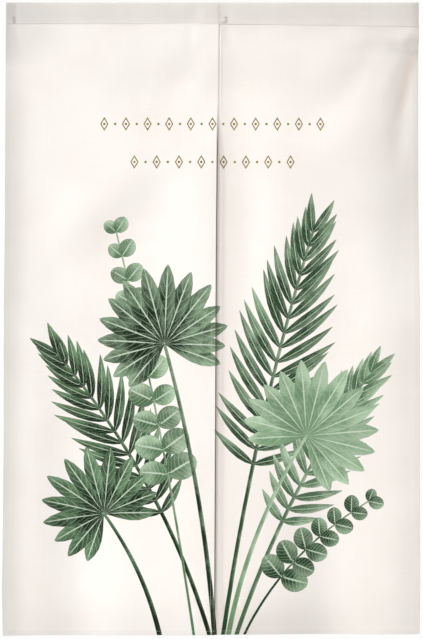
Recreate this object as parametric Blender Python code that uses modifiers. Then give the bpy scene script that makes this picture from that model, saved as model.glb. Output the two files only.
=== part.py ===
"""Noren: a doorway curtain of two cloth panels, as it hangs.

Two narrow panels hang side by side from one rod pocket. The left panel laps in
front of the right one. They are sewn together over the top of the lap, and
below that the lap is an open slit. Each hem is a doubled, thicker part of its
cloth.

Metres, +X to the viewer's right, -Y towards the viewer, +Z up. The origin is
the middle of the pocket's top edge, where a rod carries the curtain.
"""

import math
from collections import namedtuple

import bmesh
import bpy
import numpy as np

# Driving sizes
DROP = 1.200
POCKET_HEIGHT = 0.040
POCKET_DEPTH = 0.014
HALF_WIDTH = 0.391

# Cloth
CLOTH = 0.0012
HEM_CLOTH = 0.0020
GAP = 0.0003
SIDE_HEM = 0.010
BOTTOM_HEM = 0.009
HEM_STEP = 0.0015

# The lap of the two panels, at the middle
LAP_LEFT = -0.008
LAP_RIGHT = 0.012
LAP = LAP_RIGHT - LAP_LEFT
LAP_RUNOUT = 0.120
SEWN_DOWN_TO = -0.200
SLIT_OPENS_OVER = 0.110
LEFT_EDGE_FORWARD = 0.0050
RIGHT_EDGE_BACK = 0.0010

# The lower edge of the pocket runs level from the left to the lap, and then
# drops a little towards its right end.
POCKET_DROP_AT_RIGHT = 0.0055

# The panels' edges at some heights: both outer edges spread slowly outwards,
# and the slit leans to the left.
Edge = namedtuple("Edge", "z left_outer left_inner right_inner right_outer")
EDGES = (
    Edge(0.000, -0.3910, 0.0120, -0.0080, 0.3910),
    Edge(-0.230, -0.3922, 0.0100, -0.0090, 0.3910),
    Edge(-0.405, -0.3926, 0.0085, -0.0100, 0.3916),
    Edge(-0.575, -0.3946, 0.0075, -0.0110, 0.3930),
    Edge(-0.800, -0.3949, 0.0065, -0.0120, 0.3940),
    Edge(-1.010, -0.3966, 0.0055, -0.0130, 0.3946),
    Edge(-1.110, -0.3984, 0.0050, -0.0135, 0.3949),
    Edge(-1.200, -0.3974, 0.0045, -0.0140, 0.3945),
)

# Folds: a soft trough or ridge from one end to the other. A positive depth
# goes back, away from the viewer, and a negative one stands forward. Both panels
# follow the same folds, so that they keep their distance where they lap.
Fold = namedtuple("Fold", "x_top z_top x_low z_low depth half_width")
FOLDS = (
    # The pull from the top right corner: a ridge, and the edge falling back beside it
    Fold(0.352, -0.050, 0.290, -0.170, -0.0024, 0.022),
    Fold(0.420, -0.050, 0.404, -0.460, 0.0110, 0.056),
    Fold(0.430, -0.060, 0.430, -0.520, 0.0190, 0.130),
    # The slack that hangs below the pocket in a wide V
    Fold(0.372, -0.077, 0.180, -0.237, 0.0050, 0.048),
    Fold(-0.160, -0.150, 0.060, -0.160, 0.0046, 0.048),
    Fold(0.000, -0.165, 0.220, -0.195, 0.0060, 0.058),
    Fold(-0.022, -0.080, -0.085, -0.205, 0.0022, 0.030),
    # Soft slanting patches
    Fold(-0.120, -0.300, -0.290, -0.445, -0.0030, 0.050),
    Fold(-0.080, -0.360, -0.230, -0.487, 0.0022, 0.048),
    Fold(-0.150, -0.600, -0.230, -0.760, 0.0024, 0.050),
    Fold(0.305, -0.380, 0.318, -0.800, -0.0030, 0.050),
    # The outer edges: the left one curls forward, the right one leans back
    Fold(-0.404, -0.060, -0.412, -1.400, -0.0105, 0.031),
    Fold(0.402, -0.420, 0.408, -1.400, 0.0100, 0.040),
    Fold(0.402, -0.720, 0.408, -1.500, 0.0170, 0.280),
    # Long shallow flutes, deepest at the bottom
    Fold(-0.255, -0.860, -0.250, -1.500, 0.0050, 0.052),
    Fold(-0.345, -0.520, -0.345, -1.100, -0.0024, 0.040),
    Fold(0.066, -0.260, 0.064, -0.700, 0.0026, 0.038),
    Fold(0.215, -0.860, 0.225, -1.400, 0.0050, 0.060),
    # The bottom curls back, most of all in the right panel
    Fold(-0.480, -1.225, 0.480, -1.225, 0.0140, 0.058),
    Fold(0.040, -1.235, 0.260, -1.225, 0.0100, 0.062),
)
# Each end fades out over this share of the fold's length, half of it beyond
# the end.
FOLD_FADE = 0.60
FLAT_BELOW_POCKET = 0.012
FOLDS_START_OVER = 0.040

# Small tucks in the pocket's front, where its stitching pulls
Tuck = namedtuple("Tuck", "x depth half_width")
TUCKS = (
    Tuck(-0.376, 0.0010, 0.012),
    Tuck(-0.033, 0.0008, 0.010),
    Tuck(0.026, 0.0010, 0.010),
    Tuck(0.384, 0.0010, 0.012),
)

# The pocket's section
POCKET_SEAM = 0.0040
SEAM_HALF = 0.0015
INNER_SEAM_HALF = 0.0003
BELLY_HEIGHT = 0.58
POCKET_WALL = 0.0013
SIDE_POINTS = 11

# How finely the cloth is divided
PANEL_COLUMNS = 28
FINE_ROW = 0.017
COARSE_ROW = 0.030
FINE_ROWS_TO = -0.340
POCKET_STATION = 0.030

CLOTH_COLOUR = (0.86, 0.855, 0.84, 1.0)
HEADING_COLOUR = (0.74, 0.72, 0.70, 1.0)
CLOTH_ROUGHNESS = 0.85

MERGE = 0.00001
SHARP_ANGLE = math.radians(40.0)


def clear_scene():
    for thing in list(bpy.data.objects):
        bpy.data.objects.remove(thing, do_unlink=True)


def smooth(t):
    """0 up to t = 0, 1 from t = 1, and a soft step between."""
    t = min(max(t, 0.0), 1.0)
    return t * t * (3.0 - 2.0 * t)


def edge_at(z, column):
    """Where an edge of EDGES lies at height z."""
    heights = [row.z for row in reversed(EDGES)]
    places = [getattr(row, column) for row in reversed(EDGES)]
    return float(np.interp(z, heights, places))


def pocket_low(x):
    """The height of the pocket's lower edge."""
    return -POCKET_HEIGHT - POCKET_DROP_AT_RIGHT * max(x, 0.0) / HALF_WIDTH


def fold_depth(fold, x, z):
    """How far one fold moves the cloth at (x, z)."""
    along_x = fold.x_low - fold.x_top
    along_z = fold.z_low - fold.z_top
    length = math.hypot(along_x, along_z)
    t = ((x - fold.x_top) * along_x + (z - fold.z_top) * along_z) / length**2
    across = ((x - fold.x_top) * along_z - (z - fold.z_top) * along_x) / length
    ends = smooth(t / FOLD_FADE + 0.5) * smooth((1.0 - t) / FOLD_FADE + 0.5)
    return fold.depth * ends * math.exp(-((across / fold.half_width) ** 2))


def cloth_y(side, x, z):
    """The middle of the panel's cloth, before it gets its thickness."""
    below = pocket_low(x) - FLAT_BELOW_POCKET - z
    free = smooth(below / FOLDS_START_OVER)
    y = sum(fold_depth(f, x, z) for f in FOLDS) * free
    open_share = smooth((SEWN_DOWN_TO - z) / SLIT_OPENS_OVER)
    half_lap = (HEM_CLOTH + GAP) / 2.0
    if side == "left":
        beyond = edge_at(z, "left_inner") - LAP - x
        return y - (half_lap + LEFT_EDGE_FORWARD * open_share) * (1.0 - smooth(beyond / LAP_RUNOUT))
    beyond = x - edge_at(z, "right_inner") - LAP
    return y + (half_lap + RIGHT_EDGE_BACK * open_share) * (1.0 - smooth(beyond / LAP_RUNOUT))


def across_stations(width):
    """Distances across a panel, with a pair at each hem's inner edge."""
    hem = [0.0, SIDE_HEM, SIDE_HEM + HEM_STEP]
    inner = np.linspace(hem[-1], width - hem[-1], PANEL_COLUMNS - 3)[1:-1]
    return hem + inner.tolist() + [width - d for d in reversed(hem)]


def down_stations():
    """Shares of the way down a panel, closer together near the top."""
    fine = int(round((-FINE_ROWS_TO - POCKET_HEIGHT) / FINE_ROW))
    upper = np.linspace(-POCKET_HEIGHT, FINE_ROWS_TO, fine + 1)
    hem_top = -DROP + BOTTOM_HEM
    coarse = int(round((FINE_ROWS_TO - hem_top) / COARSE_ROW))
    lower = np.linspace(FINE_ROWS_TO, hem_top + HEM_STEP, coarse + 1)[1:]
    heights = upper.tolist() + lower.tolist() + [hem_top, -DROP]
    return [(-POCKET_HEIGHT - z) / (DROP - POCKET_HEIGHT) for z in heights]


def add_grid(name, columns, rows):
    """A flat grid object with this many points each way, and its mesh."""
    bpy.ops.mesh.primitive_grid_add(x_subdivisions=columns - 1, y_subdivisions=rows - 1, size=2.0)
    grid = bpy.context.object
    grid.name = name
    grid.data.name = name
    return grid


def grid_place(vertex, columns, rows):
    """The column and row of a point of a fresh grid, which spans -1 to 1."""
    column = round((vertex.co.x + 1.0) / 2.0 * (columns - 1))
    row = round((1.0 - vertex.co.y) / 2.0 * (rows - 1))
    return column, row


def cloth_panel(side):
    """One panel: a grid laid on its folds, given the cloth's thickness."""
    left = "left_outer" if side == "left" else "right_inner"
    right = "left_inner" if side == "left" else "right_outer"
    width = edge_at(0.0, right) - edge_at(0.0, left)
    across = across_stations(width)
    down = down_stations()
    cloth = add_grid(side + "_panel", len(across), len(down))
    thick = cloth.vertex_groups.new(name="thickness")
    for vertex in cloth.data.vertices:
        column, row = grid_place(vertex, len(across), len(down))
        share = across[column] / width
        top_x = edge_at(-POCKET_HEIGHT, left) * (1.0 - share) + edge_at(-POCKET_HEIGHT, right) * share
        top = pocket_low(top_x) - GAP
        z = top + (-DROP - top) * down[row]
        x = edge_at(z, left) * (1.0 - share) + edge_at(z, right) * share
        vertex.co = (x, cloth_y(side, x, z), z)
        in_side_hem = column <= 1 or column >= len(across) - 2
        in_bottom_hem = row >= len(down) - 2
        weight = 1.0 if in_side_hem or in_bottom_hem else CLOTH / HEM_CLOTH
        thick.add([vertex.index], weight, "REPLACE")
    solid = cloth.modifiers.new("cloth thickness", "SOLIDIFY")
    solid.thickness = HEM_CLOTH
    solid.offset = 0.0
    solid.vertex_group = thick.name
    face_front(cloth)
    return cloth


def face_front(cloth):
    """Turns the sheet's faces towards the viewer."""
    shape = bmesh.new()
    shape.from_mesh(cloth.data)
    shape.normal_update()
    if sum(face.normal.y for face in shape.faces) > 0.0:
        bmesh.ops.reverse_faces(shape, faces=shape.faces)
    shape.to_mesh(cloth.data)
    shape.free()


def lap_rise(x, front):
    """How far the doubled cloth of the lap stands out of the pocket."""
    if not front:
        x = LAP_LEFT + LAP_RIGHT - x
    climb = smooth((x - LAP_LEFT + 2.0 * SIDE_HEM) / (2.0 * SIDE_HEM))
    drop = smooth((x - LAP_RIGHT) / HEM_STEP)
    return CLOTH * climb * (1.0 - drop)


def tuck_depth(x):
    return sum(t.depth * math.exp(-(((x - t.x) / t.half_width) ** 2)) for t in TUCKS)


def teardrop(share, half_depth, half_foot):
    """Half the section's depth at a share of its height, round at the top."""
    power = math.log(0.5) / math.log(BELLY_HEIGHT)
    bulge = math.sin(math.pi * min(share**power, 1.0)) ** (1.0 - 0.5 * share)
    return half_foot * (1.0 - share) + (half_depth - half_foot * (1.0 - share)) * bulge


def section(foot, top, half_depth, half_foot):
    """The section's points: up the front, over the top, and down the back."""
    shares = [0.5 - 0.5 * math.cos(math.pi * i / SIDE_POINTS) for i in range(SIDE_POINTS + 1)]
    halves = [max(teardrop(s, half_depth, half_foot), 0.0) for s in shares]
    heights = [foot + (top - foot) * s for s in shares]
    front = [(-h, z) for h, z in zip(halves, heights)]
    back = [(h, z) for h, z in zip(halves, heights)]
    return front + back[-2::-1]


def pocket_stations():
    """Places along the pocket, with pairs at the edges of the lap."""
    count = int(round(2.0 * HALF_WIDTH / POCKET_STATION))
    even = np.linspace(-HALF_WIDTH, HALF_WIDTH, count + 1).tolist()
    steps = (2.0 * SIDE_HEM, SIDE_HEM, HEM_STEP, 0.0)
    around_lap = [LAP_LEFT - d for d in steps] + [LAP_RIGHT + d for d in steps]
    far = [x for x in even if x < min(around_lap) - HEM_STEP or x > max(around_lap) + HEM_STEP]
    return sorted(far + around_lap)


def pocket_ring(x, inside):
    """One closed ring of the pocket's outer or inner skin, at one place along it."""
    wall = POCKET_WALL if inside else 0.0
    foot = pocket_low(x) + (POCKET_SEAM if inside else 0.0)
    half_foot = INNER_SEAM_HALF if inside else SEAM_HALF
    ring = []
    for y, z in section(foot, -wall, POCKET_DEPTH / 2.0 - wall, half_foot):
        front, back = y < -MERGE, y > MERGE
        if not inside:
            y += lap_rise(x, False) * back - lap_rise(x, True) * front
        bulge = math.sin(math.pi * (z - foot) / (-wall - foot))
        ring.append((x, y + tuck_depth(x) * bulge * front, z))
    return ring


def rod_pocket(name):
    """The turned-over top of the curtain: one tube, open at both ends.

    A grid is laid along the outside, back through the inside and onto its own
    start, so its skin closes round both ends."""
    stations = pocket_stations()
    outside = [pocket_ring(x, False) for x in stations]
    inside = [pocket_ring(x, True) for x in reversed(stations)]
    rings = outside + inside + outside[:1]
    round_it = len(rings[0]) + 1
    pocket = add_grid(name, len(rings), round_it)
    for vertex in pocket.data.vertices:
        column, row = grid_place(vertex, len(rings), round_it)
        vertex.co = rings[column][row % (round_it - 1)]
    shape = bmesh.new()
    shape.from_mesh(pocket.data)
    bmesh.ops.remove_doubles(shape, verts=shape.verts, dist=MERGE)
    bmesh.ops.recalc_face_normals(shape, faces=shape.faces)
    shape.to_mesh(pocket.data)
    shape.free()
    return pocket


def material(name, colour):
    look = bpy.data.materials.new(name)
    look.use_nodes = True
    shader = look.node_tree.nodes["Principled BSDF"]
    shader.inputs["Base Color"].default_value = colour
    shader.inputs["Roughness"].default_value = CLOTH_ROUGHNESS
    shader.inputs["Metallic"].default_value = 0.0
    return look


def put_in(collection, thing, look):
    """Files a piece in the curtain's collection and gives it its cloth."""
    for other in list(thing.users_collection):
        other.objects.unlink(thing)
    collection.objects.link(thing)
    thing.data.materials.append(look)
    thing.data.shade_smooth()
    thing.data.set_sharp_from_angle(angle=SHARP_ANGLE)


def main():
    clear_scene()
    curtain = bpy.data.collections.new("noren curtain")
    bpy.context.scene.collection.children.link(curtain)
    put_in(curtain, cloth_panel("left"), material("left panel cloth", CLOTH_COLOUR))
    put_in(curtain, cloth_panel("right"), material("right panel cloth", CLOTH_COLOUR))
    put_in(curtain, rod_pocket("heading"), material("heading cloth", HEADING_COLOUR))


main()
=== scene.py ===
# %% [markdown]
# # A noren: two printed panels on one rod pocket
# A noren is a short curtain for a doorway. Two narrow panels hang side by side,
# sewn together near the top and open below, so that people walk through the slit.
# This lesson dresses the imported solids: it cuts finer cloth for each of them,
# turns and stitches the hems, prints the front and lights it like a product shot.
#
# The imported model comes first. Every later piece takes its place from it.

# %% Load the frame
import math
import random
from collections import namedtuple

import bpy
import numpy as np
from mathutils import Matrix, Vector
from mathutils.geometry import delaunay_2d_cdt


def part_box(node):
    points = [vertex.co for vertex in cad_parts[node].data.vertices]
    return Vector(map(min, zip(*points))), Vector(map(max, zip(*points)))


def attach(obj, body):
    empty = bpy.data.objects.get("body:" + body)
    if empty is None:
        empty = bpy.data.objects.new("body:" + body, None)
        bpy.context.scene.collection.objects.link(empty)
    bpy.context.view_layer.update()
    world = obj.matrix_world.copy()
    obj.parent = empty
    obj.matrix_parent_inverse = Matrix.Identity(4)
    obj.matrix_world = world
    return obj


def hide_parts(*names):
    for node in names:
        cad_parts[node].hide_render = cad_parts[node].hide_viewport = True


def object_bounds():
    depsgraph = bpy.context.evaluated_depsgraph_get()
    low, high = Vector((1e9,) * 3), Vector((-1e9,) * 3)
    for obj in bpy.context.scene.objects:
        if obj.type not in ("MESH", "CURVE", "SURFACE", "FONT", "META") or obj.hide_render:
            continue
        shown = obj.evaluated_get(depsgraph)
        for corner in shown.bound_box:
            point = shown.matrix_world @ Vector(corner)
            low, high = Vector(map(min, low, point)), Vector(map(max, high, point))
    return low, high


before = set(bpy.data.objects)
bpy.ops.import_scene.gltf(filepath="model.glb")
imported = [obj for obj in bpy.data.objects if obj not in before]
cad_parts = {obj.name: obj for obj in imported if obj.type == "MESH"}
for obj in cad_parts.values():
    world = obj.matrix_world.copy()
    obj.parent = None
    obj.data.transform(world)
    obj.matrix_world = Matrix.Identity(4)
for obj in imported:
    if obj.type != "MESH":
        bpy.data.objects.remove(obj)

cad_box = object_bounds()
pocket_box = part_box("heading")
print("solids reach from", tuple(cad_box[0]), "to", tuple(cad_box[1]))

# %% [markdown]
# ## The sizes of the cloth
# The curtain's own sizes are read off the solids. The cloth is much thinner than
# the solids are, so its thickness, its turned hems and its thread have sizes of
# their own here, in metres like everything else.

# %% Sizes
DROP = -cad_box[0].z
HALF_WIDTH = pocket_box[1].x
POCKET_HEIGHT = 0.040
POCKET_DROP_AT_RIGHT = -pocket_box[0].z - POCKET_HEIGHT
POCKET_DEPTH = 0.0095

CLOTH = 0.0004
LAYER = 0.0005
SIDE_HEM = 0.010
BOTTOM_HEM = 0.009
STITCH_IN = 0.0016
CELL = 0.006
TUCK_UP = 0.005

LAP_LEFT = -0.008
LAP_RIGHT = 0.012
LAP = LAP_RIGHT - LAP_LEFT
LAP_RUNOUT = 0.120
HALF_LAP = 0.0005
SEWN_DOWN_TO = -0.200
SLIT_OPENS_OVER = 0.110
LEFT_EDGE_FORWARD = 0.0026
RIGHT_EDGE_BACK = 0.0010
print(f"drop {DROP:.3f} m, width at the top {2 * HALF_WIDTH:.3f} m")

# %% [markdown]
# ## How the cloth hangs
# A pulled or slack cloth makes soft troughs and ridges. Each row of the tables
# below is one of them: its two ends on the front, how far it goes back, and half
# its width. The first table repeats the folds of the solids, so that the cloth
# lies on them. The second adds the creases that are too small for the solids.
# A cloth simulation would also make folds, but not these ones in these places.

# %% Edges and folds
Edge = namedtuple("Edge", "z left_outer left_inner right_inner right_outer")
EDGES = (
    Edge(0.000, -0.3910, 0.0120, -0.0080, 0.3910),
    Edge(-0.230, -0.3922, 0.0100, -0.0090, 0.3910),
    Edge(-0.405, -0.3926, 0.0085, -0.0100, 0.3916),
    Edge(-0.575, -0.3946, 0.0075, -0.0110, 0.3930),
    Edge(-0.800, -0.3949, 0.0065, -0.0120, 0.3940),
    Edge(-1.010, -0.3966, 0.0055, -0.0130, 0.3946),
    Edge(-1.110, -0.3984, 0.0050, -0.0135, 0.3949),
    Edge(-1.200, -0.3974, 0.0045, -0.0140, 0.3945),
)

Fold = namedtuple("Fold", "x_top z_top x_low z_low depth half_width")
FOLDS = (
    # The pull from the top right corner: a ridge, and the edge falling back beside it
    Fold(0.352, -0.050, 0.290, -0.170, -0.0024, 0.022),
    Fold(0.420, -0.050, 0.404, -0.460, 0.0110, 0.056),
    Fold(0.430, -0.060, 0.430, -0.520, 0.0190, 0.130),
    # The slack that hangs below the pocket in a wide V
    Fold(0.372, -0.077, 0.180, -0.237, 0.0050, 0.048),
    Fold(-0.160, -0.150, 0.060, -0.160, 0.0046, 0.048),
    Fold(0.000, -0.165, 0.220, -0.195, 0.0060, 0.058),
    Fold(-0.022, -0.080, -0.085, -0.205, 0.0022, 0.030),
    # Soft slanting patches
    Fold(-0.120, -0.300, -0.290, -0.445, -0.0030, 0.050),
    Fold(-0.080, -0.360, -0.230, -0.487, 0.0022, 0.048),
    Fold(-0.150, -0.600, -0.230, -0.760, 0.0024, 0.050),
    Fold(0.305, -0.380, 0.318, -0.800, -0.0030, 0.050),
    # The outer edges: the left one curls forward, the right one leans back
    Fold(-0.404, -0.060, -0.412, -1.400, -0.0105, 0.031),
    Fold(0.402, -0.420, 0.408, -1.400, 0.0100, 0.040),
    Fold(0.402, -0.720, 0.408, -1.500, 0.0170, 0.280),
    # Long shallow flutes, deepest at the bottom
    Fold(-0.255, -0.860, -0.250, -1.500, 0.0050, 0.052),
    Fold(-0.345, -0.520, -0.345, -1.100, -0.0024, 0.040),
    Fold(0.066, -0.260, 0.064, -0.700, 0.0026, 0.038),
    Fold(0.215, -0.860, 0.225, -1.400, 0.0050, 0.060),
    # The bottom curls back, most of all in the right panel
    Fold(-0.480, -1.225, 0.480, -1.225, 0.0140, 0.058),
    Fold(0.040, -1.235, 0.260, -1.225, 0.0100, 0.062),
)
CREASES = (
    # Fine pulls under the pocket's stitching
    Fold(-0.376, -0.040, -0.362, -0.090, 0.0008, 0.008),
    Fold(-0.038, -0.040, -0.044, -0.078, 0.0009, 0.007),
    Fold(0.026, -0.040, 0.034, -0.085, 0.0008, 0.008),
    Fold(0.384, -0.046, 0.378, -0.090, 0.0010, 0.007),
    # The bright ridge of the pull reaches further right
    Fold(0.384, -0.050, 0.322, -0.170, -0.0022, 0.018),
    Fold(0.366, -0.130, 0.352, -0.290, 0.0026, 0.018),
    # Below it the right edge leans back less
    Fold(0.398, -0.240, 0.404, -1.150, -0.0052, 0.045),
    # The bottom of the right panel curls back further out too
    Fold(0.120, -1.235, 0.330, -1.230, 0.0036, 0.050),
    # The left edge starts to curl further in
    Fold(-0.404, -0.200, -0.412, -1.500, -0.0028, 0.075),
    # The seam that holds the lap stands up beside it
    Fold(0.0168, -0.030, 0.0158, -0.212, -0.0005, 0.0013),
)
SEAM_RIDGE = CREASES[-1]
print(len(FOLDS), "folds and", len(CREASES), "creases")

# %% [markdown]
# Across a fold its depth falls off as a bell curve. Along it the fold fades in
# and out softly past its two ends.

# %% The depth of a fold
FOLD_FADE = 0.60
FLAT_BELOW_POCKET = 0.012
FOLDS_START_OVER = 0.040


def smooth(t):
    """0 up to t = 0, 1 from t = 1, and a soft step between."""
    t = np.clip(t, 0.0, 1.0)
    return t * t * (3.0 - 2.0 * t)


def edge_at(z, column):
    """Where an edge of EDGES lies at height z."""
    heights = [row.z for row in reversed(EDGES)]
    return np.interp(z, heights, [getattr(row, column) for row in reversed(EDGES)])


def pocket_low(x):
    """The height of the pocket's lower edge."""
    return -POCKET_HEIGHT - POCKET_DROP_AT_RIGHT * np.maximum(x, 0.0) / HALF_WIDTH


def fold_depth(fold, x, z):
    """How far one fold moves the cloth at (x, z)."""
    along_x = fold.x_low - fold.x_top
    along_z = fold.z_low - fold.z_top
    length = math.hypot(along_x, along_z)
    t = ((x - fold.x_top) * along_x + (z - fold.z_top) * along_z) / length**2
    across = ((x - fold.x_top) * along_z - (z - fold.z_top) * along_x) / length
    ends = smooth(t / FOLD_FADE + 0.5) * smooth((1.0 - t) / FOLD_FADE + 0.5)
    return fold.depth * ends * np.exp(-((across / fold.half_width) ** 2))


print("the deepest fold goes back", max(fold.depth for fold in FOLDS), "m")

# %% [markdown]
# Stitching gathers cloth a little, so small puckers run along each seam and die
# out a centimetre away. They are two slow waves multiplied, which never repeat
# quite evenly.

# %% The surface of a panel
PUCKER = 0.00012
PUCKER_PITCH = 0.013
PUCKER_REACH = 0.012
PUCKER_STARTS_OVER = 0.004


def pucker(along, away):
    """Small gathers along a seam: along it, and this far away from it."""
    wave = np.sin(2.0 * math.pi * along / PUCKER_PITCH + 2.0 * np.sin(along * 37.0))
    slow = 0.5 + 0.5 * np.sin(along * 53.0 + 1.0)
    return PUCKER * wave * slow * np.exp(-((away / PUCKER_REACH) ** 2))


def cloth_y(side, x, z):
    """The middle of a panel's cloth at (x, z)."""
    below = pocket_low(x) - FLAT_BELOW_POCKET - z
    folds = sum(fold_depth(f, x, z) for f in FOLDS)
    y = folds * smooth(below / FOLDS_START_OVER)
    y = y + sum(fold_depth(f, x, z) for f in CREASES) * smooth(
        (pocket_low(x) - z) / FLAT_BELOW_POCKET
    )
    y = y + pucker(x, z - pocket_low(x)) * smooth((pocket_low(x) - z) / PUCKER_STARTS_OVER)
    outer = edge_at(z, side + "_outer")
    y = y + pucker(z, x - outer) + pucker(x + 3.0, z + DROP)
    open_share = smooth((SEWN_DOWN_TO - z) / SLIT_OPENS_OVER)
    inner = edge_at(z, side + "_inner")
    y = y + pucker(z + 5.0, x - inner) * open_share
    if side == "left":
        near = 1.0 - smooth((inner - LAP - x) / LAP_RUNOUT)
        return y - (HALF_LAP + LEFT_EDGE_FORWARD * open_share) * near
    near = 1.0 - smooth((x - inner - LAP) / LAP_RUNOUT)
    return y + (HALF_LAP + RIGHT_EDGE_BACK * open_share) * near


right_lean = float(cloth_y("right", np.array([0.39]), np.array([-0.25]))[0])
print("the right edge leans back", right_lean, "m")

# %% [markdown]
# ## The print
# The panels carry a botanical print. On the real curtain it is dyed into the
# cloth, so nothing may stand up from it. There are three ways to draw it: an
# image, which this file does without; noise in the material, which can't draw a
# leaf; or faces cut to the outline of each leaf, inside the cloth itself. The
# last way gives crisp edges at any distance, and it is the one used here.
#
# A blade is a leaf, a leaflet or a stem. It grows from its foot in one direction,
# bends as a parabola, and has a width that swells and closes by a sine. The same
# rule run backwards tells where inside its blade a point of the cloth lies, and
# the material paints ribs, veins and washes of colour from that.

# %% Blades
Blade = namedtuple(
    "Blade", "x z turn length half_width bend belly fullness look deep light vein rib"
)
LEAF, GOLD, BARE = 1, 2, 0


def blade_width(blade, s):
    """Half the blade's width at a share of its length."""
    if blade.look == "stem":
        return blade.half_width * (1.0 - 0.35 * s)
    power = math.log(0.5) / math.log(blade.belly)
    return blade.half_width * np.sin(math.pi * np.clip(s, 0.0, 1.0) ** power) ** blade.fullness


def blade_point(blade, s, t):
    """The place on the front at share s of the length and t of the half width."""
    out = blade.bend * blade.length * s * s + t * blade_width(blade, s)
    x = blade.x + math.sin(blade.turn) * blade.length * s + math.cos(blade.turn) * out
    z = blade.z + math.cos(blade.turn) * blade.length * s - math.sin(blade.turn) * out
    return x, z


def blade_inside(blade, x, z):
    """The share of the length, and of the half width, at places on the front."""
    dx, dz = x - blade.x, z - blade.z
    s = (dx * math.sin(blade.turn) + dz * math.cos(blade.turn)) / blade.length
    out = dx * math.cos(blade.turn) - dz * math.sin(blade.turn)
    middle = blade.bend * blade.length * s * s
    return s, (out - middle) / np.maximum(blade_width(blade, s), 0.0002)


def blade_outline(blade):
    """The blade's outline, anticlockwise seen from the front."""
    count = {"coin": 11, "stem": 22}.get(blade.look, 9)
    s = 0.5 - 0.5 * np.cos(np.linspace(0.0, math.pi, count))
    closed = blade.look != "stem"
    right = [blade_point(blade, v, 1.0) for v in (s[1:-1] if closed else s)]
    left = [blade_point(blade, v, -1.0) for v in (s[-2:0:-1] if closed else s[::-1])]
    ends = [blade_point(blade, 0.0, 0.0)], [blade_point(blade, 1.0, 0.0)]
    return ends[0] * closed + right + ends[1] * closed + left


def heading_at(blade, s):
    """Which way the blade runs at a share of its length."""
    return blade.turn + math.atan(2.0 * blade.bend * s)


# %% [markdown]
# ## The plants
# The print is of my own design: fan palms, feather-leaved palms and coin-leaved
# sprays rising from the bottom hem. Each plant is a row with its foot, its
# direction, length and bend, its leaves' number and size, and two greens. The
# order of the rows is the order of painting, from the back to the front.

# %% Plants
Plant = namedtuple("Plant", "kind foot_x turn length bend leaves size deep light")
INK = {
    "night": (0.0060, 0.0215, 0.0064),
    "bottle": (0.018, 0.052, 0.019),
    "leaf": (0.074, 0.146, 0.073),
    "fresh": (0.150, 0.262, 0.142),
    "sage": (0.250, 0.362, 0.234),
    "mist": (0.413, 0.540, 0.380),
}
PLANTS = (
    Plant("feather", 0.020, 8.0, 0.790, 0.08, 17, 0.135, "bottle", "sage"),
    Plant("feather", -0.005, -16.0, 0.600, -0.22, 15, 0.115, "night", "fresh"),
    Plant("feather", 0.045, 18.0, 0.560, 0.16, 14, 0.105, "leaf", "mist"),
    Plant("coin", -0.035, -8.0, 0.780, -0.05, 11, 0.058, "leaf", "mist"),
    Plant("coin", 0.060, 24.0, 0.330, 0.34, 7, 0.050, "bottle", "sage"),
    Plant("fan", 0.004, -4.0, 0.560, -0.10, 15, 0.150, "night", "sage"),
    Plant("fan", 0.030, 10.0, 0.400, 0.20, 15, 0.150, "fresh", "mist"),
    Plant("fan", -0.100, -12.0, 0.250, -0.22, 13, 0.130, "night", "fresh"),
)
print(len(PLANTS), "plants in", len(INK), "greens")

# %% [markdown]
# A plant is its stem and the blades that grow from it: leaflets in pairs, round
# leaves in pairs, or fingers spread from the stem's end. Seeded dice vary their
# sizes, directions and greens a little, in the same way on every run.

# %% Growing the plants
STEM_HALF = 0.0042
FOOT_BELOW = 0.002
dice = random.Random(20)


def shade_of(ink, spread=0.18):
    """One of the inks, a little lighter or darker."""
    by = 1.0 + dice.uniform(-spread, spread)
    return tuple(min(c * by, 1.0) for c in INK[ink])


def leaf_blade(plant, place, turn, length, half_width, bend, belly, fullness, look, vein, rib):
    """A blade in two of the plant's greens."""
    inks = shade_of(plant.deep), shade_of(plant.light)
    return Blade(*place, turn, length, half_width, bend, belly, fullness, look, *inks, vein, rib)


def stem_of(plant, half=STEM_HALF):
    foot = (plant.foot_x, -DROP - FOOT_BELOW)
    turn = math.radians(plant.turn)
    return leaf_blade(plant, foot, turn, plant.length, half, plant.bend, 0.5, 1.0, "stem", 0.0, 0.0)


def leaf_pairs(plant, stem, lowest, reach, wide, closing, sway):
    """Each leaf on both sides of a stem: its share, foot, side and direction."""
    for i in range(plant.leaves):
        share = i / (plant.leaves - 1)
        s = lowest + reach * share
        foot = blade_point(stem, s, 0.0)
        for side in (-1.0, 1.0):
            angle = math.radians(wide - closing * share + dice.uniform(-sway, sway))
            yield share, foot, side, heading_at(stem, s) + side * angle


def feather(plant):
    """A feather palm: leaflets on both sides of the stem's upper part."""
    stem = stem_of(plant)
    blades = [stem]
    for share, foot, side, turn in leaf_pairs(plant, stem, 0.42, 0.57, 66.0, 40.0, 4.0):
        swell = 0.40 + 0.60 * math.sin(math.pi * (0.12 + 0.80 * share) ** 0.85)
        length = plant.size * swell * dice.uniform(0.92, 1.06)
        half = 0.0095 * (0.75 + 0.25 * swell)
        bend = -side * 0.14
        blades.append(
            leaf_blade(plant, foot, turn, length, half, bend, 0.40, 0.85, "leaf", 0.35, 0.8)
        )
    return blades


def coin(plant):
    """A spray with pairs of round leaves that shrink towards its tip."""
    stem = stem_of(plant, 0.6 * STEM_HALF)
    blades = [stem]
    for share, foot, _, turn in leaf_pairs(plant, stem, 0.40, 0.60, 70.0, 30.0, 9.0):
        length = plant.size * (1.0 - 0.45 * share) * dice.uniform(0.90, 1.08)
        half = 0.43 * length
        blades.append(
            leaf_blade(plant, foot, turn, length, half, 0.0, 0.50, 0.50, "coin", 0.75, 0.9)
        )
    return blades


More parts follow.
